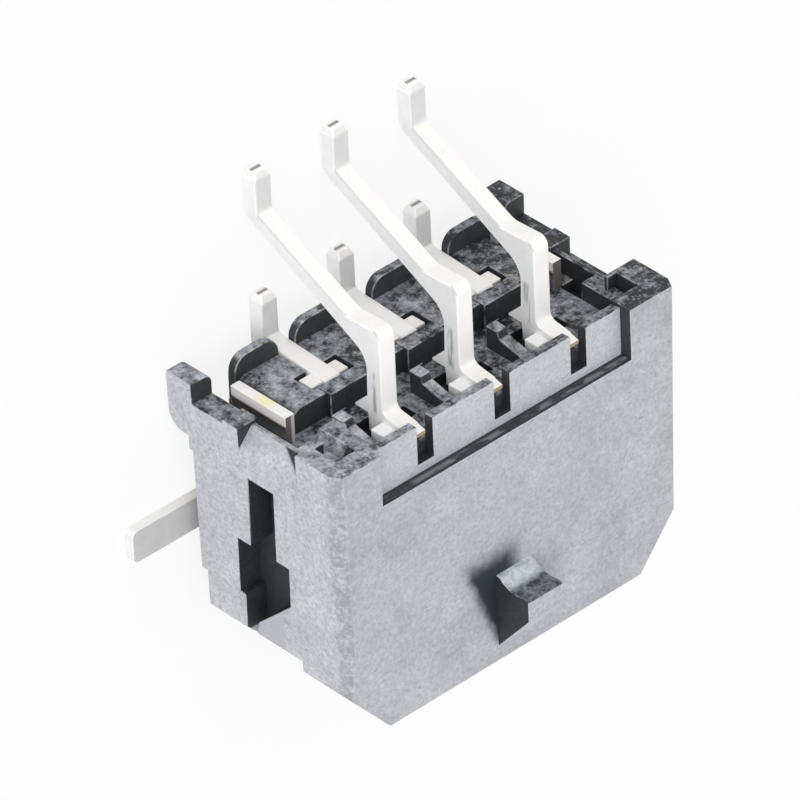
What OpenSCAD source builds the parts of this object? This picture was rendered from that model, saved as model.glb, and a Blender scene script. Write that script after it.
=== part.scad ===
// Shrouded right-angle pin header for surface mounting, two rows of three circuits.
// Millimetres. The board plane is Z = 0, the mating mouth faces -Y, the solder feet point to +Y
// and the row runs along X. Profiles are drawn with Y measured from the mating mouth.

/* [Grid] */
// Distance between neighbouring columns and between the two rows
pitch = 3; // [2.9:0.05:3.2]
// Height of the lower contact row above the board
lower_row = 2.44; // [2.4:0.02:2.6]

/* [Housing] */
// From the outer column to the end face, at the back corner
end_margin = 3.54; // [3.48:0.02:3.8]
// How much each end face leans in from the back corner to the mouth
end_draft = 0.17; // [0:0.01:0.22]
// From the mating mouth to the back of the corner blocks
body_depth = 9.52; // [9.3:0.02:10.2]
// From the upper contact row to the latch face
roof_cover = 1.71; // [1.65:0.01:1.95]
// Gap between the board and the underside of the body
body_lift = 0.92; // [0.84:0.02:0.96]
// Run of the corner cut at the mouth, along the end face
corner_run = 1.63; // [1.4:0.01:1.8]
// Depth of the shallow recess in the latch face beside the back edge
recess_depth = 0.42; // [0.3:0.01:0.46]

/* [Contact cells] */
// Opening of one cell along the row
cell_width = 2.35; // [2.1:0.05:2.5]
// Opening of one cell across the rows
cell_height = 2.04; // [1.8:0.04:2.08]
// Depth of a cell from the mouth to its floor
cell_depth = 6.6; // [6:0.1:7]

/* [Latch ramp] */
// Width of the ramp along the row
latch_width = 1.38; // [1:0.02:2]
// How far the ramp stands above the latch face
latch_rise = 1.31; // [0.9:0.01:1.5]

/* [Terminals] */
// Thickness of the terminal metal along the row
metal = 0.6; // [0.5:0.02:0.64]
// Height of the square contact across the rows
contact = 0.64; // [0.5:0.02:0.66]
// Thickness of the solder feet on the board
foot_thick = 0.57; // [0.46:0.01:0.6]
// From the mating mouth to the tips of the upper row of feet
upper_reach = 15.15; // [14.9:0.05:16]
// From the mating mouth to the tips of the lower row of feet
lower_reach = 10.86; // [10.6:0.02:11.5]
// Clearance on each side of a terminal or nail in its slot
press_gap = 0.02; // [0.01:0.01:0.04]

/* [Solder nails] */
// Thickness of the nail strip
nail_thick = 0.35; // [0.25:0.01:0.38]
// How far the nail foot stands out past the back corner of the end face
nail_reach = 1.9; // [1.2:0.05:2.4]
// Width of the nail foot along the end face
nail_width = 1.1; // [0.8:0.05:1.3]

/* [Hidden] */
$fn = 48;

// Overcut that keeps a cutting tool clear of the face it leaves by
past = 0.5;

// Overlap that lets an arc cross the edges it runs into
hair = 0.0001;

// Heights above the board
upper_row = lower_row + pitch;
body_top = upper_row + roof_cover;
mouth_lift = body_lift + 0.23;
mouth_lift_run = 3.2;
recess_face = body_top - recess_depth;
comb_inner = recess_face - 0.33;
corner_block_low = body_top - 1.78;
post_far = corner_block_low - 0.7;
post_near = corner_block_low + 0.52;
tower_face = lower_row + 1.11;
backstop_face = lower_row + 1.31;
rib_far = lower_row + 1.96;
ledge_face = lower_row + 0.51;
ledge_low = lower_row - 0.14;
lip_low = body_top - 2.1;
rim_inner = body_lift + 0.3;
bevel_side = 0.36;

// Places along X, measured from the outer column
outer = pitch;
back_half = outer + end_margin;
side_half = back_half - end_draft;
mouth_half = side_half - 1.39;
mouth_half_low = mouth_half - 0.48;
tower_half = outer + 2;
recess_half = outer + 1.86;
horn_in = outer + 2.72;
block_in = outer + 2.9;
ridge_in = outer + 2.82;
post_in = outer + 2.3;
pocket_floor = outer + 2.62;
end_skin = 0.2;
bevel_top = 0.22;

// Places along X, measured from a column
backstop_side = [-0.65, 0.82];
rib_side = [-1.22, -0.7];
rib_strip = -0.83;
comb_notch = [-0.1, 0.5];
pit_side = [0.88, 1.22];

// Places along Y, measured from the mating mouth
back_floor = body_depth - 1.07;
comb_top = body_depth - 0.12;
seat = body_depth - 0.96;
well_floor = body_depth - 1.5;
tower_top = body_depth - 0.25;
backstop_top = body_depth - 0.22;
rim_top = body_depth + 0.41;
horn_top = body_depth + 0.26;
ledge_top = body_depth - 0.42;
ledge_step = body_depth - 0.32;
ridge_top = body_depth - 0.44;
post_top = body_depth - 0.47;
recess_start = body_depth - 1.74;
notch_start = body_depth - 1.45;
corner_run_low = corner_run + 0.37;
bevel_start = 3.04;
draft = end_draft / (body_depth - corner_run);

// Slot room around the terminals
slot_half = metal / 2 + press_gap;
contact_half = contact / 2;
hole_half = contact_half + press_gap;

// Terminal outline
contact_tip = 1.7;
tip_half = 0.14;
tip_run = 0.45;
tip_bevel = 0.13;
tip_bevel_run = 0.22;
flange_near = comb_inner - press_gap;
flange_tab = recess_face - 0.04;
flange_near_top = back_floor + 0.73;
flange_near_end = back_floor + 0.85;
riser_in = upper_row - 0.52;
riser_out = riser_in + metal;
shoulder_far = riser_in - 0.53;
shoulder_low = body_depth - 0.41;
shoulder_tip = body_depth - 0.34;
shoulder_end = body_depth + 0.18;
elbow_in = back_floor + 2.61;
elbow_out = back_floor + 3.67;
knee_out = back_floor + 3.6;
knee_rise = riser_out - 1.37;
heel_in = upper_reach - 1.57;
heel_out = upper_reach - 1.37;
crook_round = 0.8;
crest_round = 0.3;
heel_round = 0.5;
toe_round = 0.25;
knee_round = 0.6;
bend_round = 0.25;
strip_seat = body_depth - 0.74;
strip_far_top = body_depth - 0.1;
strip_near_top = body_depth - 0.25;
strip_near = lower_row + 0.76;
barb = [lower_row + 0.02, lower_row + 0.58];
barb_half = 0.72;
barb_top = body_depth - 0.32;
barb_gap = 0.1;
side_barb = [upper_row + 0.02, upper_row + 0.58];
side_barb_top = body_depth - 0.5;

// Nail outline
nail_in = tower_half + 0.03 + press_gap;
nail_out = nail_in + nail_thick;
nail_seat = 4.08;
nail_back = body_depth - 0.12;
nail_top = lower_row + 1.32;
nail_low = body_lift + 0.53;
nail_bend = 0.2;
nail_tip = back_half + nail_reach;

// Places everything so that the origin sits under the middle of the whole part
module placed() {
  translate([0, -upper_reach / 2, 0]) children();
}

module both_ends() {
  children();
  mirror([1, 0, 0]) children();
}

module at_columns() {
  for (column = [-1:1]) translate([column * pitch, 0, 0]) children();
}

// Box between two limits on each axis
module block(x, y, z) {
  translate([x[0], y[0], z[0]]) cube([x[1] - x[0], y[1] - y[0], z[1] - z[0]]);
}

// A profile drawn as (Y, Z), drawn out along X
module along_x(from, to) {
  translate([from, 0, 0]) rotate([90, 0, 90]) linear_extrude(height = to - from) children();
}

// A profile drawn as (X, Z), drawn out along Y
module along_y(from, to) {
  translate([0, to, 0]) rotate([90, 0, 0]) linear_extrude(height = to - from) children();
}

// What lies between a sharp corner and the arc that rounds it, with a margin beyond the corner.
// The two directions run along the edges, away from the corner.
module round_corner(corner, first, second, radius) {
  one = first / norm(first);
  two = second / norm(second);
  half = acos(one * two) / 2;
  run = radius / tan(half);
  inward = (one + two) / norm(one + two);
  centre = corner + inward * radius / sin(half);
  first_end = corner + one * run;
  second_end = corner + two * run;
  beyond = inward * past / 2;
  difference() {
    polygon([
      corner - beyond, first_end - beyond, first_end, centre, second_end, second_end - beyond
    ]);
    translate(centre) circle(r = radius + hair);
  }
}

// Half the length of the drafted body at a given distance from the mouth
function half_length(y) = side_half + draft * (y - corner_run);

// Outline seen from the latch side: drafted ends and cut corners at the mouth
module plan(y_to) {
  half = half_length(y_to);
  polygon([
    [-mouth_half, 0], [mouth_half, 0], [side_half, corner_run],
    [half, y_to], [-half, y_to], [-side_half, corner_run]
  ]);
}

// What the larger corner cut takes away below the lip of the mouth
module low_corner() {
  from = [mouth_half_low, 0];
  slope = [half_length(corner_run_low), corner_run_low] - from;
  beyond = 0.3;
  translate([0, 0, body_lift - past]) linear_extrude(height = lip_low - body_lift + past)
    polygon([
      from - slope * beyond, from + slope * (1 + beyond), [back_half + 2 * past, -2 * past]
    ]);
}

// Body up to the floor behind the upper row
module body_core() {
  difference() {
    intersection() {
      translate([0, 0, body_lift]) linear_extrude(height = body_top - body_lift) plan(horn_top);
      block([-back_half - past, back_half + past], [-past, back_floor], [body_lift - past, body_top + past]);
    }
    block([-back_half, back_half], [-past, mouth_lift_run], [body_lift - past, mouth_lift]);
    both_ends() low_corner();
  }
}

// Horn at each end that stands on the board behind the body
module horn_profile() {
  toe = horn_top - 1.91;
  corner_round = 0.6;
  root = horn_top - 2.4;
  root_low = body_lift - 0.14;
  step = body_lift + 0.12;
  difference() {
    polygon([
      [toe, 0], [horn_top, 0], [horn_top, step], [ledge_top, step],
      [ledge_top, ledge_face], [root, ledge_face], [root, root_low], [toe, root_low]
    ]);
    round_corner([toe, 0], [1, 0], [0, 1], corner_round);
  }
}

// Lead-in beside the nail: it climbs from the end face to a narrow ridge
module lead_in() {
  slope = 47.5;
  difference() {
    block([ridge_in, back_half], [back_floor - past, ridge_top], [ledge_face, corner_block_low]);
    translate([back_half, back_floor, ledge_face - past]) rotate([0, 0, -slope])
      translate([-end_margin, 0, 0]) cube([2 * end_margin, end_margin, 2 * end_margin]);
  }
}

// End wall behind the body: horn and ledge, lead-in, corner block with an inner lip
module end_wall() {
  horn_round = 0.3;
  lip_in = block_in - 0.36;
  lip_high = corner_block_low + 0.15;
  intersection() {
    union() {
      difference() {
        along_x(horn_in, back_half) horn_profile();
        linear_extrude(height = ledge_face) round_corner([horn_in, horn_top], [1, 0], [0, -1], horn_round);
      }
      block([horn_in, back_half], [back_floor - past, ledge_step], [ledge_low, ledge_face]);
      lead_in();
      block([block_in, back_half], [back_floor - past, body_depth], [corner_block_low, body_top]);
      block([lip_in, back_half], [back_floor - past, body_depth], [corner_block_low, lip_high]);
      block([recess_half, back_half], [back_floor - past, body_depth], [comb_inner, body_top]);
    }
    linear_extrude(height = body_top) plan(horn_top);
  }
}

// Post profile with rounded back corners, seen along the rows
module post_profile(from, to, top, radius) {
  difference() {
    translate([from, back_floor - past]) square([to - from, top - back_floor + past]);
    round_corner([from, top], [1, 0], [0, -1], radius);
    round_corner([to, top], [-1, 0], [0, -1], radius);
  }
}

// Raised block behind the lower row with its thin rim on the board side
module tower_row() {
  tower_round = 0.45;
  rim_round = 0.5;
  translate([0, 0, body_lift]) linear_extrude(height = tower_face - body_lift)
    post_profile(-tower_half, tower_half, tower_top, tower_round);
  translate([0, 0, body_lift]) linear_extrude(height = rim_inner - body_lift) {
    both_ends() {
      post_profile(outer + slot_half, tower_half, rim_top, rim_round);
      post_profile(slot_half, outer - slot_half, rim_top, rim_round);
    }
  }
  at_columns()
    block(backstop_side, [back_floor - past, backstop_top], [tower_face - past, backstop_face]);
}

// Sloped filling at the first end of the row, between the end slot and the first rib
module end_filling() {
  crest = body_depth - 0.48;
  foot = -outer - 2.15;
  shoulder = -outer - 1.72;
  side = -outer + rib_side[0];
  near = rib_far + 1.4;
  translate([0, 0, rib_far]) linear_extrude(height = near - rib_far)
    polygon([
      [foot, back_floor - past], [foot, back_floor], [shoulder, crest],
      [side, crest], [side, back_floor - past]
    ]);
  block([shoulder, side], [back_floor - past, crest], [near - past, comb_inner]);
}

// Rib beside each upper terminal: a flat head near the tower, then a lower strip to the comb wall
module rib() {
  head = body_depth - 0.31;
  head_near = rib_far + 0.45;
  neck = body_depth - 0.52;
  neck_far = rib_far + 0.55;
  foot = body_depth - 0.84;
  along_x(rib_side[0], rib_side[1])
    polygon([
      [back_floor - past, rib_far], [head, rib_far], [head, head_near],
      [neck, neck_far], [back_floor - past, neck_far]
    ]);
  along_x(rib_side[0], rib_strip)
    polygon([
      [back_floor - past, rib_far], [neck, rib_far], [neck, neck_far],
      [foot, comb_inner], [back_floor - past, comb_inner]
    ]);
}

// Slot between the bay floor and the end ridge, on both sides of the post that stands in it
module end_slot() {
  for (run = [[nail_top, post_far], [post_near, comb_inner]])
    block([post_in, ridge_in], [well_floor, body_depth], run);
}

// Ramp that catches the latch of the plug: long lead-in towards the mouth, hollow catch behind
module latch_ramp() {
  lead = 0.53;
  crest = lead + 1.53;
  crest_end = crest + 0.7;
  root = crest_end + 0.3;
  sink = 0.2;
  hollow = 0.95;
  hollow_back = root + 0.64;
  hollow_high = body_top + latch_rise * 0.62;
  along_x(-latch_width / 2, latch_width / 2)
    difference() {
      polygon([
        [lead, body_top - sink], [lead, body_top], [crest, body_top + latch_rise],
        [crest_end, body_top + latch_rise], [root, body_top], [root, body_top - sink]
      ]);
      translate([hollow_back, hollow_high]) circle(r = hollow);
    }
}

// Cell of one circuit, with two corners cut where the plug is keyed
module cell(row, key) {
  keyed = 0.45;
  plain = 0.02;
  side = cell_width / 2;
  rise = cell_height / 2;
  top = key > 0 ? keyed : plain;
  low = key < 0 ? keyed : plain;
  along_y(-past, cell_depth)
    translate([0, row])
      polygon([
        [-side + low, -rise], [side - low, -rise], [side, -rise + low], [side, rise - top],
        [side - top, rise], [-side + top, rise], [-side, rise - top], [-side, -rise + low]
      ]);
}

// Holes, channels and wells that hold the terminals of one column, with a cored pit beside each riser
module terminal_room() {
  relief_half = barb_half + barb_gap;
  relief_floor = strip_seat - 0.3;
  relief_low = barb[0] - barb_gap;
  well_near = upper_row + 0.3;
  pit_rise = [upper_row - 0.72, upper_row - 0.16];
  slot = [-slot_half, slot_half];
  through = [cell_depth - past, body_depth];
  strip_end = strip_near + press_gap;
  for (row = [lower_row, upper_row]) block(slot, through, [row - hole_half, row + hole_half]);
  block(slot, [strip_seat, rim_top + past], [body_lift - past, strip_end]);
  block([-relief_half, relief_half], [relief_floor, rim_top], [relief_low, strip_end]);
  block([rib_side[1], slot_half], [well_floor, body_depth], [rib_far, riser_in]);
  block([rib_strip, -slot_half], [well_floor, body_depth], [riser_in - past, well_near]);
  block(pit_side, [well_floor, body_depth], pit_rise);
  block(comb_notch, [notch_start, body_depth + past], [comb_inner - press_gap, body_top]);
}

// Pad under the flange of an upper terminal
module pad() {
  block([-slot_half, slot_half], [back_floor - past, seat], [riser_in, comb_inner]);
}

// T-shaped pocket in the end face, open to the cut corner
module end_pocket() {
  mid = lower_row + 1.34;
  lean = 0.03;
  neck = 0.53;
  neck_end = 7.6;
  bar_back = 5.15;
  bar_front = 3.77;
  bar_low_front = 3.2;
  bar_high = 1.05;
  bar_low = -1.11;
  scoop_front = 1.1;
  scoop_bend = 2.44;
  scoop_bend_high = -0.36;
  scoop_high = -0.58;
  scoop_low = -0.85;
  along_x(pocket_floor, back_half + past)
    multmatrix([[1, 0, 0, 0], [lean, 1, 0, mid - lean * neck_end], [0, 0, 1, 0]])
      polygon([
        [neck_end, -neck], [neck_end, neck], [bar_back, neck], [bar_back, bar_high],
        [bar_front, bar_high], [scoop_bend, scoop_bend_high], [scoop_front, scoop_high],
        [scoop_front, scoop_low], [bar_low_front, scoop_low], [bar_low_front, bar_low],
        [bar_back, bar_low], [bar_back, -neck]
      ]);
}

// Slot for a nail, open to the back and to the board
module nail_room() {
  relief_floor = ledge_top - 0.25;
  relief_high = rim_inner + 1;
  block([nail_in - press_gap, nail_out + press_gap], [nail_seat, horn_top + past],
    [-past, nail_top + press_gap]);
  block([tower_half, horn_in], [relief_floor, horn_top + past], [-past, relief_high]);
}

// Wedge over the edge between the latch face and an end face, leaning with the distance from the mouth
module bevel_wedge(from, lean) {
  clear = 4 * past;
  offset = half_length(bevel_start) - lean * bevel_start;
  multmatrix([[1, lean, 0, offset], [0, 1, 0, 0], [0, 0, 1, body_top]])
    along_y(from, body_depth + past)
      polygon([
        [-bevel_top, past], [-bevel_top, 0], [0, -bevel_side], [clear, -bevel_side], [clear, past]
      ]);
}

// Soft bevel along that edge at the first end, which runs out towards the mouth
module edge_bevel() {
  run_out = 1.4;
  first = bevel_start - run_out;
  intersection() {
    bevel_wedge(first, draft);
    bevel_wedge(first - past, draft - bevel_top / run_out);
  }
}

// Extra thickness of the second end wall, bevelled at the latch face and run out towards the mouth
module thick_end() {
  edge = body_top - 0.03;
  low = mouth_lift + 0.1;
  front = corner_run_low + 0.05;
  sunk = 0.1;
  for (step = [[low, back_floor], [corner_block_low, body_depth]])
    intersection() {
      translate([0, 0, step[0]]) linear_extrude(height = body_top - step[0])
        polygon([
          [half_length(front) - past, front], [half_length(front) - sunk, front],
          [half_length(bevel_start) + end_skin, bevel_start], [half_length(step[1]) + end_skin, step[1]],
          [half_length(step[1]) - past, step[1]]
        ]);
      multmatrix([[1, draft, 0, half_length(0)], [0, 1, 0, 0], [0, 0, 1, 0]])
        along_y(0, body_depth + past)
          polygon([
            [-2 * past, low], [end_skin, low], [end_skin, body_top - bevel_side],
            [0, edge], [-2 * past, edge]
          ]);
    }
}

module housing() {
  placed() color("#24262a")
    difference() {
      union() {
        body_core();
        both_ends() end_wall();
        tower_row();
        block([-recess_half, recess_half], [back_floor - past, comb_top], [comb_inner, recess_face]);
        at_columns() rib();
        at_columns() pad();
        end_filling();
        thick_end();
        both_ends() block([post_in, ridge_in], [back_floor - past, post_top], [post_far, post_near]);
        latch_ramp();
      }
      for (column = [-1:1]) translate([column * pitch, 0, 0]) {
        cell(upper_row, column == 0 ? 0 : 1);
        cell(lower_row, column == 0 ? -1 : 0);
        terminal_room();
      }
      block([-recess_half, recess_half], [recess_start, body_depth + past], [recess_face, body_top + past]);
      both_ends() {
        end_pocket();
        end_slot();
        nail_room();
      }
      mirror([1, 0, 0]) edge_bevel();
    }
}

// Takes the side edges off the tip of a solder foot
module tip_sides(reach) {
  side_bevel = 0.1;
  side_run = 0.22;
  side = metal / 2;
  both_ends()
    translate([0, 0, -past]) linear_extrude(height = foot_thick + 2 * past)
      polygon([
        [side - side_bevel, reach], [side, reach - side_run], [side + past, reach - side_run],
        [side + past, reach + past], [side - side_bevel, reach + past]
      ]);
}

// Terminal of the upper row: contact, flange with a side barb, riser, kneed leg and solder foot
module upper_terminal(column) {
  tab_side = [-0.08, 0.28];
  tab_seat = back_floor + 0.5;
  tab_lip = back_floor + 0.65;
  tab_root = flange_near - 0.3;
  tip_low = tip_bevel;
  tip_high = foot_thick - tip_bevel;
  tip_start = upper_reach - tip_bevel_run;
  heel = [heel_in, 0];
  crook = [elbow_in, riser_in];
  crest = [elbow_out, riser_out];
  toe = [heel_out, foot_thick];
  knee = [knee_out, knee_rise];
  bend = [flange_near_end, riser_out];
  flange = [flange_near_top, flange_near];
  placed() color("#d8d5cd") translate([column * pitch, 0, 0]) {
    difference() {
      along_x(-metal / 2, metal / 2)
        difference() {
          union() {
            polygon([
              [contact_tip, upper_row - tip_half], [contact_tip + tip_run, upper_row - contact_half],
              [seat, upper_row - contact_half], [seat, riser_in], [shoulder_low, riser_in],
              [shoulder_low, shoulder_far], [shoulder_tip, shoulder_far], [shoulder_end, riser_in], crook,
              heel, [tip_start, 0], [upper_reach, tip_low], [upper_reach, tip_high],
              [tip_start, foot_thick], toe, knee, crest, bend, flange, [seat, flange_near],
              [seat, upper_row + contact_half], [contact_tip + tip_run, upper_row + contact_half],
              [contact_tip, upper_row + tip_half]
            ]);
            round_corner(crook, [-1, 0], heel - crook, crook_round);
            round_corner(toe, [1, 0], knee - toe, toe_round);
            round_corner(knee, toe - knee, crest - knee, knee_round);
            round_corner(bend, [1, 0], flange - bend, bend_round);
          }
          round_corner(heel, crook - heel, [1, 0], heel_round);
          round_corner(crest, knee - crest, [-1, 0], crest_round);
        }
      tip_sides(upper_reach);
    }
    along_x(tab_side[0], tab_side[1])
      polygon([
        [tab_seat, tab_root], [flange_near_top, tab_root], [flange_near_top, flange_near],
        [tab_lip, flange_tab], [tab_seat, flange_tab]
      ]);
    block([-barb_half, 0], [seat, side_barb_top], side_barb);
  }
}

// Terminal of the lower row: contact, strip with barbs in its channel behind the tower, solder foot
module lower_terminal(column) {
  inner_round = 0.15;
  outer_round = 0.45;
  end_round = 0.2;
  tip_low = tip_bevel;
  tip_high = foot_thick - tip_bevel;
  tip_start = lower_reach - tip_bevel_run;
  heel = [strip_seat, 0];
  toe = [strip_far_top, foot_thick];
  crest = [strip_near_top, strip_near];
  placed() color("#d8d5cd") translate([column * pitch, 0, 0]) {
    difference() {
      along_x(-metal / 2, metal / 2)
        difference() {
          union() {
            polygon([
              [contact_tip, lower_row - tip_half], [contact_tip + tip_run, lower_row - contact_half],
              [strip_seat, lower_row - contact_half], heel, [tip_start, 0], [lower_reach, tip_low],
              [lower_reach, tip_high], [tip_start, foot_thick], toe, crest,
              [strip_seat, strip_near], [strip_seat, lower_row + contact_half],
              [contact_tip + tip_run, lower_row + contact_half], [contact_tip, lower_row + tip_half]
            ]);
            round_corner(toe, [1, 0], crest - toe, inner_round);
          }
          round_corner(heel, [1, 0], [0, 1], outer_round);
          round_corner(crest, toe - crest, [-1, 0], end_round);
        }
      tip_sides(lower_reach);
    }
    block([-barb_half, barb_half], [strip_seat, barb_top], barb);
  }
}

// Nail on the right-hand end: a plate pressed in from the back, its foot bent outward on the board
module nail() {
  leg_top = nail_top - 0.5;
  foot_end = nail_seat + nail_width;
  shoulder = foot_end + 0.4;
  shoulder_end = foot_end + 0.9;
  bend_out = nail_bend + nail_thick;
  tip_round = 0.2;
  tip_start = nail_tip - tip_round;
  along_x(nail_in, nail_out)
    polygon([
      [nail_seat, bend_out], [foot_end, bend_out], [foot_end, nail_low], [nail_back, nail_low],
      [nail_back, nail_top], [shoulder_end, nail_top], [shoulder, leg_top], [nail_seat, leg_top]
    ]);
  along_y(nail_seat, foot_end)
    difference() {
      union() {
        translate([nail_in, 0]) square([nail_thick, bend_out]);
        translate([nail_in, 0]) square([tip_start - nail_in, nail_thick]);
        round_corner([nail_out, nail_thick], [0, 1], [1, 0], nail_bend);
      }
      round_corner([nail_in, 0], [1, 0], [0, 1], bend_out);
    }
  linear_extrude(height = nail_thick)
    difference() {
      translate([tip_start - tip_round, nail_seat]) square([2 * tip_round, nail_width]);
      round_corner([nail_tip, nail_seat], [-1, 0], [0, 1], tip_round);
      round_corner([nail_tip, foot_end], [-1, 0], [0, -1], tip_round);
    }
}

module upper_terminal_1() { upper_terminal(-1); }
module upper_terminal_2() { upper_terminal(0); }
module upper_terminal_3() { upper_terminal(1); }
module lower_terminal_1() { lower_terminal(-1); }
module lower_terminal_2() { lower_terminal(0); }
module lower_terminal_3() { lower_terminal(1); }
module solder_nail_left() { placed() color("#d2cec4") mirror([1, 0, 0]) nail(); }
module solder_nail_right() { placed() color("#d2cec4") nail(); }

housing();
upper_terminal_1();
upper_terminal_2();
upper_terminal_3();
lower_terminal_1();
lower_terminal_2();
lower_terminal_3();
solder_nail_left();
solder_nail_right();
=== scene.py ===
import math
import bmesh
import bpy
from mathutils import Matrix, Vector


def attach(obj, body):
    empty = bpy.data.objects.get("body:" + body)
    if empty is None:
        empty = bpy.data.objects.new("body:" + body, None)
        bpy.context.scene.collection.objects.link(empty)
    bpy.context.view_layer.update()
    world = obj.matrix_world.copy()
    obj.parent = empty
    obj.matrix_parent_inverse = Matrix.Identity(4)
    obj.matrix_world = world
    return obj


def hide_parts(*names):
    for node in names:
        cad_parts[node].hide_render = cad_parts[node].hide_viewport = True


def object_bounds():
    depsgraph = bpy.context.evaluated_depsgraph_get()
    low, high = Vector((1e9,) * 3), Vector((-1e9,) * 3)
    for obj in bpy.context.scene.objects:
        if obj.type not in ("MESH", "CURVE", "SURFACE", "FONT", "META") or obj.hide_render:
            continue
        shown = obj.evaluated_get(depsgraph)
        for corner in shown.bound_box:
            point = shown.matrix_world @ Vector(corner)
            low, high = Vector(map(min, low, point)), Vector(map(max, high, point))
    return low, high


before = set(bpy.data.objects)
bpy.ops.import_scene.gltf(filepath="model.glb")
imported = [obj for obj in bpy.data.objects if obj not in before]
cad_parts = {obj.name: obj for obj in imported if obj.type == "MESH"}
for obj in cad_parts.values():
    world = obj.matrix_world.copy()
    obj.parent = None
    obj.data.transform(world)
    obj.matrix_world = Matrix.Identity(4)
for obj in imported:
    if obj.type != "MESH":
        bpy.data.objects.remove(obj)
cad_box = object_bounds()


# Housing.
# One moulding of black glass-filled plastic, from a tool with a fine spark-eroded grain. Its outer
# faces carry a painted pale sheen of light, and the bay behind the terminals, the pockets and slots stay
# near black.

class Signal:
    """One output socket of a material's nodes, written in expressions as if it were a number."""

    def __init__(self, socket):
        self.socket = socket
        self.tree = socket.id_data

    @classmethod
    def node(cls, tree, kind, settings, inputs, out=0):
        """A new node with its settings made first, then the values or links of its sockets."""
        made = tree.nodes.new(kind)
        for name, value in settings.items():
            setattr(made, name, value)
        for key, value in inputs.items():
            if isinstance(value, Signal):
                tree.links.new(value.socket, made.inputs[key])
            else:
                made.inputs[key].default_value = value
        return cls(made.outputs[out])

    def maths(self, operation, *values):
        """A Math node on these values."""
        return Signal.node(self.tree, "ShaderNodeMath", {"operation": operation}, dict(enumerate(values)))

    def __add__(self, other):
        return self.maths("ADD", self, other)

    def __sub__(self, other):
        return self.maths("SUBTRACT", self, other)

    def __rsub__(self, other):
        return self.maths("SUBTRACT", other, self)

    def __mul__(self, other):
        return self.maths("MULTIPLY", self, other)

    def __abs__(self):
        return self.maths("ABSOLUTE", self)

    def __or__(self, other):
        return self.maths("MAXIMUM", self, other)

    def __and__(self, other):
        return self.maths("MINIMUM", self, other)

    __radd__ = __add__
    __rmul__ = __mul__
    __ror__ = __or__
    __rand__ = __and__

    def rise(self, low, high):
        """0 below the first value and 1 above the second, with a soft step between."""
        return Signal.node(self.tree, "ShaderNodeMapRange", {"interpolation_type": "SMOOTHSTEP"},
                           {"Value": self, "From Min": low, "From Max": high})

    def fall(self, low, high):
        """1 below the first value and 0 above the second, with a soft step between."""
        return 1 - self.rise(low, high)

    def within(self, low, high, soft=0.02):
        """1 between the two values and 0 outside."""
        return self.rise(low - soft, low + soft) & self.fall(high - soft, high + soft)

    def blend(self, first, second):
        """The first colour where this is 0, the second where it is 1."""
        return Signal.node(self.tree, "ShaderNodeMix", {"data_type": "RGBA"},
                           {0: self, 6: first, 7: second}, out=2)

    def stretched(self, x, y, z):
        """This place with each axis scaled."""
        return Signal.node(self.tree, "ShaderNodeVectorMath", {"operation": "MULTIPLY"},
                           {0: self, 1: (x, y, z)})

    def grain(self, size, detail=2.0, rough=0.5, swirl=0.0):
        """Cloudy noise around 0 with patches of about this many millimetres."""
        noise = Signal.node(self.tree, "ShaderNodeTexNoise", {}, {
            "Vector": self, "Scale": 1.0 / size, "Detail": detail, "Roughness": rough, "Distortion": swirl})
        return noise - 0.5

    def axes(self):
        """The three numbers of a vector."""
        return [Signal.node(self.tree, "ShaderNodeSeparateXYZ", {}, {0: self}, out=i) for i in range(3)]

    def feeds(self, shader, name):
        """Links this to a socket of the shader."""
        self.tree.links.new(self.socket, shader.inputs[name])

    def dents(self, shader, strength, depth=0.00001):
        """Makes this the fine relief of the shader's surface."""
        Signal.node(self.tree, "ShaderNodeBump", {}, {
            "Strength": strength, "Distance": depth, "Height": self}).feeds(shader, "Normal")


blue_lift = 1.6


def grey(level, blue=0.0):
    """Linear colour of a screen value from 0 to 255, with a little blue where asked."""
    def linear(value):
        share = min(max(value / 255.0, 0.0), 1.0)
        return share / 12.92 if share <= 0.04045 else ((share + 0.055) / 1.055) ** 2.4
    return (linear(level - blue), linear(level), linear(level + blue_lift * blue), 1.0)


millimetres = 1000.0
mouth = -cad_box[0][1] * millimetres


def new_material(name):
    """A fresh material: its shader, the place in millimetres, the facing and the rounded edges."""
    material = bpy.data.materials.new(name)
    material.use_nodes = True
    tree = material.node_tree
    spot = Signal.node(tree, "ShaderNodeTexCoord", {}, {}, out="Object")
    place = Signal.node(tree, "ShaderNodeVectorMath", {"operation": "SCALE"},
                        {0: spot, "Scale": millimetres})
    facing = Signal.node(tree, "ShaderNodeNewGeometry", {}, {}, out="True Normal")
    edge = Signal.node(tree, "ShaderNodeAttribute", {"attribute_name": "edge"}, {}, out="Fac")
    return material, tree.nodes["Principled BSDF"], place, facing, edge


def measured(place):
    """X from the middle, Y from the mating mouth and Z from the board."""
    x, y, z = place.axes()
    return x, y + mouth, z


# Limits for joining corners, in metres, and for telling flat joints and short steps from rounded edges
same_corner = 2e-7
same_plane = math.radians(0.5)
rounded_corner = math.radians(15)
shading_break = math.radians(12)
same_line = 0.9
shortest_rounded = 2.2


def runs_on(edge, other):
    """Whether two edges at one corner go on in nearly the same direction."""
    first, second = ((e.verts[1].co - e.verts[0].co).normalized() for e in (edge, other))
    return edge != other and abs(first.dot(second)) > same_line


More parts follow.
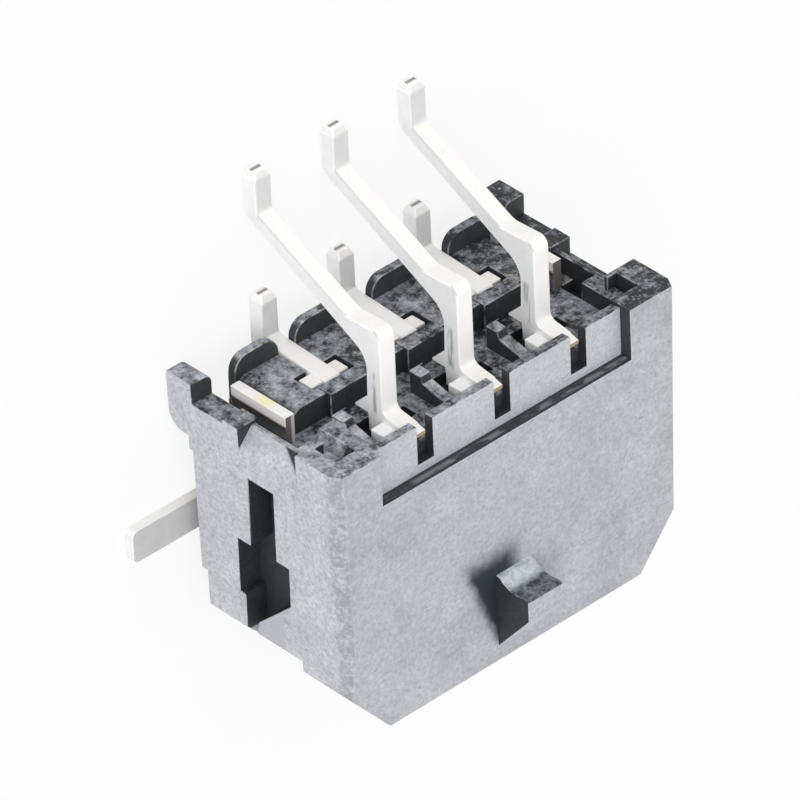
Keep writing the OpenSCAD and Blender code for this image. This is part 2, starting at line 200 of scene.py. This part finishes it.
def with_rounded_edges(name, piece_name, width, material):
    """A copy of a node with its outer edges rounded off; the attribute "edge" marks the rounding."""
    work = bmesh.new()
    work.from_mesh(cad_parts[name].data)
    bmesh.ops.remove_doubles(work, verts=work.verts, dist=same_corner)
    bmesh.ops.dissolve_limit(work, angle_limit=same_plane, verts=work.verts, edges=work.edges)
    mark = work.faces.layers.float.new("edge")
    sharp = [edge for edge in work.edges if edge.is_convex and edge.calc_face_angle() > rounded_corner]
    near = {edge: [other for vert in edge.verts for other in vert.link_edges] for edge in sharp}
    steps = {edge for edge in sharp if edge.calc_length() < shortest_rounded * width
             and not any(runs_on(edge, other) for other in near[edge])}
    sharp = [edge for edge in sharp if not steps.intersection(near[edge])]
    rounding = bmesh.ops.bevel(work, geom=sharp, offset=width, offset_type="OFFSET", affect="EDGES",
                               segments=2, profile=0.5, material=-1)
    for face in rounding["faces"]:
        face[mark] = 1.0
    for face in work.faces:
        face.smooth = True
    for edge in work.edges:
        edge.smooth = edge.calc_face_angle() < shading_break
    mesh = bpy.data.meshes.new(piece_name)
    work.to_mesh(mesh)
    work.free()
    mesh.materials.append(material)
    piece = bpy.data.objects.new(piece_name, mesh)
    bpy.context.scene.collection.objects.link(piece)
    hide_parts(name)
    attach(piece, "root")


plastic, shader, place, facing, edge = new_material("black_moulding")
x, y, z = measured(place)
side = abs(x)
facing_x, facing_y, facing_z = facing.axes()
outward = abs(facing_x)

# How squarely a face looks along an axis, as soft steps between edge-on, 0, and straight on, 1
glancing = (0.1, 0.3)
partly_on = (0.4, 0.5)
half_on = (0.5, 0.6)
sloped = (0.55, 0.8)
turned = (0.7, 0.8)
upturned = (0.7, 0.93)
square_on = (0.8, 0.9)
straight_on = (0.9, 0.95)

# Outer faces of the moulding, in millimetres: where the end walls, comb wall and lead-ins begin
end_wall = (6.2, 6.25)
comb_wall = (6.55, 6.6)
lead_in_wall = (5.9, 6.0)
latch_level = (7.1, 7.14)
end_face = outward.rise(*half_on) & side.rise(*end_wall)
comb_face = facing_z.rise(*half_on) & z.rise(*comb_wall)
lead_in = facing_y.within(*sloped) & side.rise(*lead_in_wall)
latch_face = facing_z.rise(*straight_on) & z.rise(*latch_level)

# The bay behind the comb wall, its wells, and the notches and step of the comb wall
bay_floor = (8.45, 8.49)
well_floor = (6.7, 6.75)
well_side = (5.84, 5.88)
well_height = (0.96, 6.45)
notch_floor = (7.74, 7.78)
notch_side = (5.2, 5.3)
notch_back = (6.3, 6.4)
step_depth = (7.6, 8.2)
step_back = (6.3, 6.36)
bay = y.rise(*bay_floor) & (1 - end_face) & (1 - comb_face) & (1 - lead_in)
wells = y.rise(*well_floor) & side.fall(*well_side) & z.within(*well_height)
notch = outward.rise(*turned) & y.rise(*notch_floor) & side.fall(*notch_side) & z.rise(*notch_back)
recess_step = facing_y.rise(*turned) & y.within(*step_depth) & z.rise(*step_back)

# The pockets in the end faces, the cells of the mouth and the sides of the latch ramp
pocket_depth = (1.9, 7.75)
pocket_height = (2.2, 5.2)
pocket_side = (5.5, 5.55)
pocket_base = (5.64, 5.7)
cell_depth = (0.02, 6.75)
cell_side = (4.35, 4.4)
cell_height = (1.25, 6.6)
ramp_foot = (7.155, 7.165)
ramp_root = (7.0, 7.1)
ramp_reach = (1.0, 1.1)
pocket_floor = outward.rise(*straight_on) & side.fall(*pocket_base)
pocket = y.within(*pocket_depth) & z.within(*pocket_height) & side.rise(*pocket_side)
pocket = pocket & (pocket_floor | outward.fall(*partly_on))
cells = y.within(*cell_depth) & side.fall(*cell_side) & z.within(*cell_height)
on_ramp = z.rise(*ramp_foot) & side.fall(*ramp_reach)
ramp_side = outward.rise(*half_on) & z.rise(*ramp_root) & side.fall(*ramp_reach)

# Tops of the bay, and the first corner, where the slot is nearly filled up to a small hole
tops_level = (8.25, 8.35)
comb_gap = (6.3, 6.76)
comb_gap_top = (9.0, 9.1)
hole_side, hole_height, hole_top = (-4.65, -4.15), (5.15, 5.55), (8.7, 8.8)
hole_floor = (8.3, 8.4)
fill_side, fill_height, fill_depth = (-5.9, -4.15), (3.8, 5.6), (8.0, 9.15)
shadow_slope = 2.1
shadow_line = (23.3, 23.5)
first_half = (-1.0, 0.0)
in_comb = z.within(*comb_gap) & y.fall(*comb_gap_top)
small_hole = x.within(*hole_side) & z.within(*hole_height) & y.fall(*hole_top)
filled = x.within(*fill_side) & y.within(*fill_depth) & z.within(*fill_height)
top = facing_y.rise(*upturned) & y.rise(*tops_level) & (1 - in_comb)
top = (top | filled) & (1 - small_hole)
# A painted shadow wedge on the lead-in slope at the first end, beside the corner block
corner_shadow = lead_in & (z + y * shadow_slope).rise(*shadow_line) & x.fall(*first_half)
dark = bay | wells | notch | recess_step | pocket | cells | ramp_side
dark = dark | (small_hole & y.rise(*hole_floor)) | corner_shadow

# Grain of the tool: fine speckle, blotches, broad clouds, frosted swirls and streaks along the ends
speckle = place.grain(size=0.12, detail=4.0, rough=0.65)
blotches = place.grain(size=0.4, detail=3.0, rough=0.6)
clouds = place.grain(size=1.3, detail=3.0)
frost = place.grain(size=0.3, detail=4.0, rough=0.65, swirl=2.5)
streaks = place.stretched(1.0, 0.25, 1.0).grain(size=0.2, detail=3.0, rough=0.6)
pits = place.grain(size=0.07)

# Pale outer faces, a painted sheen on the black plastic: brighter on the end and comb wall and darker on
# the latch face as painted light, a greyer bevel, a smooth sill under the pocket, scuffs
outer_sheen_skin = (grey(158, 4), grey(214, 4))
bevel_height = (6.5, 6.85)
bevel_side = (5.75, 5.95)
sill_height = (2.8, 4.36)
sill_top = (3.4, 3.5)
sill_tone = 0.42
pale = 0.5 + clouds * 0.7 + frost * 0.4 + speckle * 1.3
pale = pale + end_face * (0.1 + frost * 1.3 + streaks * 0.5)
pale = pale + comb_face * 0.14 - latch_face * 0.24
bevelled = z.rise(*bevel_height) & side.rise(*bevel_side) & (1 - latch_face)
pale = pale - bevelled * (0.1 + blotches.rise(-0.2, 0.15) * 0.4)
sill = end_face & z.within(*sill_height, soft=0.06) & y.fall(*sill_top)
pale = pale - sill * (pale - sill_tone)
scuffs = place.stretched(0.5, 1.5, 1.0).grain(size=0.11, detail=1.0).rise(0.12, 0.2)
scuffs = scuffs & clouds.rise(-0.02, 0.1)
sheen_colour = (pale - scuffs * 0.35).blend(*outer_sheen_skin)

# A painted reflection of the ramp's dark side lies on the face beside and behind it, with a ragged edge
ramp_start = 0.54
ramp_edge = -0.78
mirror_slant = 0.38
mirror_colour = grey(48, 5)
mirror_far_side = (-0.3, 0.5)
mirror_start = (ramp_start, 0.7)
mirror_end = (3.3, 4.3)
ragged = blotches * 0.3
mirrored = (x - ramp_edge + (y - ramp_start) * mirror_slant + ragged).rise(-0.1, 0.35)
mirrored = mirrored * (x + ragged).fall(*mirror_far_side) * (y + ragged).fall(*mirror_end)
mirrored = mirrored * y.rise(*mirror_start) * facing_z.rise(*straight_on) * (1 - on_ramp)
sheen_colour = mirrored.blend(sheen_colour, mirror_colour)

# The ramp's hollow catch carries a painted sheen, darker near the crest, with a painted highlight along its
# first side
catch_skin = (grey(64, 4), grey(212, 6))
catch_height = (7.52, 7.86)
catch_side = (-0.76, -0.64)
catch_highlight = x.fall(*catch_side)
catch = on_ramp & facing_y.rise(*glancing)
catch_tone = 0.85 - z.rise(*catch_height) * 0.72 + blotches * 1.1 + speckle + catch_highlight * 0.6
sheen_colour = catch.blend(sheen_colour, catch_tone.blend(*catch_skin))

# Tops of the bay: dark and speckled under a dimmer painted sheen, with painted glints, lighter ribs, a
# lighter first corner, a darker ledge, and darker towards the second end
pitch = 3.0
top_skin = (grey(46, 3), grey(196, 5))
rib_side, rib_height = (-1.24, -0.68), (4.4, 6.3)
ledge_depth = (8.9, 9.3)
corner_side, corner_height = (-4.9, -4.3), (4.3, 4.7)
dimming = 0.022
column = x.maths("WRAP", x, pitch / 2, -pitch / 2)
rib = column.within(*rib_side) & z.within(*rib_height)
ledge = side.rise(*lead_in_wall) & y.within(*ledge_depth)
first_corner = x.fall(*corner_side) & z.rise(*corner_height)
glints = place.grain(size=0.09).rise(0.1, 0.2)
top_tone = 0.27 + speckle * 1.5 + blotches * 2.1 + clouds * 0.8 + glints * 0.4
top_tone = top_tone + rib * 0.25 - ledge * 0.15 + first_corner * 0.12 - x * dimming
top_colour = top_tone.blend(*top_skin)

# Dark faces, with a broken pale streak along the step of the comb wall
dark_skin = (grey(34, 2), grey(74, 3))
streak_colour = grey(150, 3)
streak_height = (6.86, 7.03)
streaked = recess_step & z.within(*streak_height, soft=0.04)
streaked = streaked & place.stretched(0.4, 1.0, 1.0).grain(size=0.3).rise(-0.08, 0.06)
dark_tone = 0.45 + speckle + blotches * 0.6
dark_colour = (streaked * 0.6).blend(dark_tone.blend(*dark_skin), streak_colour)

# All of it together, with painted highlights on the rounded edges that show most on the dark faces and tops
edge_highlight_colour = grey(208, 3)
no_edge_highlight = pocket | notch | recess_step | on_ramp
edge_highlight = edge * (0.08 + 0.5 * (dark | top)) * blotches.rise(-0.2, 0.2) * (1 - no_edge_highlight)
colour = top.blend(dark.blend(sheen_colour, dark_colour), top_colour)
edge_highlight.blend(colour, edge_highlight_colour).feeds(shader, "Base Color")
(0.5 + speckle * 0.3).feeds(shader, "Roughness")
shader.inputs["Specular IOR Level"].default_value = 0.3
(pits + speckle).dents(shader, strength=0.3)
moulded_rounding = 0.00003
with_rounded_edges("housing", "moulded_housing", moulded_rounding, plastic)


# Terminals.
# Stamped from copper alloy strip and plated with matte tin, then pressed into the housing from the
# back: three long ones for the upper row and three short ones for the lower row.

def tinned(name):
    """A fresh tin plate: its shader, the place, the facing, the tone of its grain with a painted highlight
    on the rounded edges, and the rounded edges.
    """
    material, shader, place, facing, edge = new_material(name)
    speckle = place.grain(size=0.1, detail=3.0, rough=0.6)
    rolled = place.grain(size=0.5)
    shader.inputs["Metallic"].default_value = 0.15
    (0.42 + speckle * 0.25).feeds(shader, "Roughness")
    (speckle + rolled).dents(shader, strength=0.15)
    # The tone lightens on the rounded edges: a painted highlight.
    tone = 0.55 + rolled * 0.7 + speckle * 0.6 + edge * 0.3
    return material, shader, place, facing, tone, edge


tin, shader, place, facing, tone, edge = tinned("matte_tin")
_, y, z = measured(place)
facing_x, facing_y, facing_z = facing.axes()
to_first_end = 0 - facing_x

# Sheared sides, brighter on the riser as painted light, with rolling scratches and a groove down the middle
# of the riser
tin_skin = (grey(240, -1), grey(253, -4))
cut_skin = (grey(230), grey(254))
groove_colour = grey(138)
riser_top = (11.0, 12.5)
groove_height, groove_run = (5.06, 5.28), (9.25, 10.6)
scratches = place.stretched(1.0, 0.12, 1.0).grain(size=0.12)
cut_tone = tone + scratches * 0.5 + y.fall(*riser_top) * 0.6
groove = z.within(*groove_height, soft=0.05) & y.within(*groove_run, soft=0.12)
groove = (groove & to_first_end.rise(*square_on)) * scratches.rise(-0.15, 0.1) * 0.7
cut_side = groove.blend(cut_tone.blend(*cut_skin), groove_colour)
colour = abs(facing_x).rise(*turned).blend(tone.blend(*tin_skin), cut_side)

# Greyer tops of the feet, a burr along the legs with its shade painted as a grey line, grey sheared tips
levelled = (0.7, 1.0)
foot_height = (0.7, 0.85)
foot_skin = (grey(210), grey(228))
burr_shade_colour = grey(196, -1)
burr_side, burr_back, burr_up = (0.3, 0.95), (0.15, 0.25), (0.1, 0.2)
leg_run = (11.4, 13.9)
tip_skin = (grey(110), grey(160))
tip_height = (0.22, 0.34)
foot_top = facing_z.rise(*levelled) & z.fall(*foot_height)
colour = foot_top.blend(colour, tone.blend(*foot_skin))
burr_shade = to_first_end.within(*burr_side) & facing_y.rise(*burr_back) & facing_z.rise(*burr_up)
burr_shade = burr_shade & edge & y.within(*leg_run)
colour = (burr_shade * 0.8).blend(colour, burr_shade_colour)
sheared_tip = facing_y.rise(*square_on) & z.within(*tip_height, soft=0.04)
colour = sheared_tip.blend(colour, tone.blend(*tip_skin))

# A lug painted pure white as a painted glint, and the sheared end of the tab: bare alloy above, painted
# shade below
lug_level = (8.9, 9.1)
glint_colour = grey(255)
tab_end = (6.33, 6.36)
alloy_level = (8.93, 8.97)
tab_shade = grey(60, -4)
bare_alloy = (0.36, 0.29, 0.14, 1.0)
lug_glint = facing_y.rise(*square_on) & y.within(*lug_level)
colour = lug_glint.blend(colour, glint_colour)
sheared_tab = facing_z.rise(*square_on) & z.rise(*tab_end)
colour = sheared_tab.blend(colour, y.rise(*alloy_level).blend(tab_shade, bare_alloy))
colour.feeds(shader, "Base Color")
stamped_rounding = 0.00004
for row in ("upper", "lower"):
    for number in (1, 2, 3):
        with_rounded_edges(f"{row}_terminal_{number}", f"{row}_terminal_tinned_{number}", stamped_rounding,
                        tin)


# Solder nails.
# Flat strips of the same tinned alloy, pressed into the end walls from the back, with a foot bent
# outwards to hold the housing down on the board. The press tool bares the yellow alloy at the back.

nail_tin, shader, place, facing, tone, _ = tinned("tinned_nail")
x, y, z = measured(place)
side = abs(x)
facing_x, facing_y, facing_z = facing.axes()

# Grey top of the foot, and the yellow alloy in the middle of the back end
nail_skin = (grey(232, -1), grey(252, -3))
nail_foot_skin = (grey(192, -1), grey(216, -1))
yellow_alloy = (0.95, 0.87, 0.6, 1.0)
bared_height, bared_level = (2.4, 3.05), (9.0, 9.1)
foot_top = facing_z.rise(*levelled) & z.fall(*foot_height)
colour = foot_top.blend(tone.blend(*nail_skin), tone.blend(*nail_foot_skin))
bared = facing_y.rise(*square_on) & z.within(*bared_height, soft=0.1) & y.rise(*bared_level)
colour = bared.blend(colour, yellow_alloy)

# Sides dark brown near the back, greyer deeper in the slot
fit_end = (9.02, 9.12)
fit_start = (8.1, 8.3)
fit_deep = (8.7, 9.0)
brown_side_skin = (grey(44, -3), grey(92, -4))
scraped_skin = (grey(84, 2), grey(146, 2))
scrapes = place.grain(size=0.4, detail=3.0, rough=0.6)
pressed_side = y.rise(*fit_start) & y.fall(*fit_end) & z.rise(*foot_height)
pressed_side = pressed_side & abs(facing_x).rise(*square_on)
brown_side = tone.blend(*brown_side_skin)
scraped = (tone + scrapes * 1.5).blend(*scraped_skin)
colour = pressed_side.blend(colour, y.fall(*fit_deep).blend(brown_side, scraped))

# The sheared edge towards the latch face: half bright at the first end, brown at the second
bright_half = (5.16, 5.22)
second_end = (-1.0, 1.0)
sheared_skin = (grey(214, -2), grey(112, -4))
sheared_edge = facing_z.rise(*square_on) & y.rise(*fit_start)
browned = side.rise(*bright_half) | x.rise(*second_end)
colour = sheared_edge.blend(colour, browned.blend(*sheared_skin))
colour.feeds(shader, "Base Color")
nail_rounding = 0.00003
for hand in ("left", "right"):
    with_rounded_edges(f"solder_nail_{hand}", f"solder_nail_tinned_{hand}", nail_rounding, nail_tin)


# Stage.
# A pale floor under the feet, soft light from above and from the first end, and the camera where
# the photograph was taken, turned so that the mating mouth points down in the picture.

floor_reach = 2.0
floor_level = -0.00002
floor_mesh = bpy.data.meshes.new("floor")
sheet = bmesh.new()
bmesh.ops.create_grid(sheet, x_segments=1, y_segments=1, size=floor_reach)
bmesh.ops.translate(sheet, vec=(0.0, 0.0, floor_level), verts=sheet.verts)
sheet.to_mesh(floor_mesh)
sheet.free()
floor = bpy.data.objects.new("floor", floor_mesh)
bpy.context.scene.collection.objects.link(floor)


def seen_straight(tree):
    """1 for a ray from the camera, from a mirror or through glass."""
    kinds = [Signal.node(tree, "ShaderNodeLightPath", {}, {}, out=f"Is {kind} Ray")
             for kind in ("Camera", "Glossy", "Transmission")]
    return kinds[0] | kinds[1] | kinds[2]


paper = bpy.data.materials.new("floor_paper")
paper.use_nodes = True
tree = paper.node_tree
shader = tree.nodes["Principled BSDF"]
shader.inputs["Base Color"].default_value = (0.9, 0.9, 0.9, 1.0)
shader.inputs["Roughness"].default_value = 0.9
paper_white = 0.85
glow = Signal.node(tree, "ShaderNodeEmission", {}, {"Strength": 1.0})
shown = Signal.node(tree, "ShaderNodeMixShader", {}, {
    0: seen_straight(tree) * paper_white, 1: Signal(shader.outputs[0]), 2: glow})
shown.feeds(tree.nodes["Material Output"], "Surface")
floor_mesh.materials.append(paper)

ambient = 0.72
world = bpy.data.worlds.new("studio")
bpy.context.scene.world = world
world.use_nodes = True
sky = world.node_tree.nodes["Background"]
sky.inputs["Color"].default_value = (1.0, 1.0, 1.0, 1.0)
(ambient + seen_straight(world.node_tree) * (1 - ambient)).feeds(sky, "Strength")


def softbox(name, towards, strength, spread):
    """A broad soft lamp that shines from the given direction."""
    lamp = bpy.data.lights.new(name, "SUN")
    lamp.energy = strength
    lamp.angle = spread
    holder = bpy.data.objects.new(name, lamp)
    holder.rotation_euler = Vector(towards).to_track_quat("Z", "Y").to_euler()
    bpy.context.scene.collection.objects.link(holder)


softbox("key", towards=(-0.55, 0.25, 0.8), strength=0.9, spread=0.9)
softbox("fill", towards=(-0.35, 0.75, 0.55), strength=0.45, spread=1.2)

lens = bpy.data.cameras.new("camera")
lens.sensor_width = 36.0
lens.lens = 468.465
camera = bpy.data.objects.new("camera", lens)
right = Vector((0.729027, -0.037105, 0.683479))
up = Vector((0.425565, 0.806650, -0.410134))
behind = Vector((-0.536110, 0.589863, 0.603860))
stand = (-0.1602089, 0.1752978, 0.1830359)
turn = Matrix((right, up, behind)).transposed().to_4x4()
camera.matrix_world = Matrix.Translation(stand) @ turn
bpy.context.scene.collection.objects.link(camera)
bpy.context.scene.camera = camera
bpy.context.scene.view_settings.view_transform = "Standard"
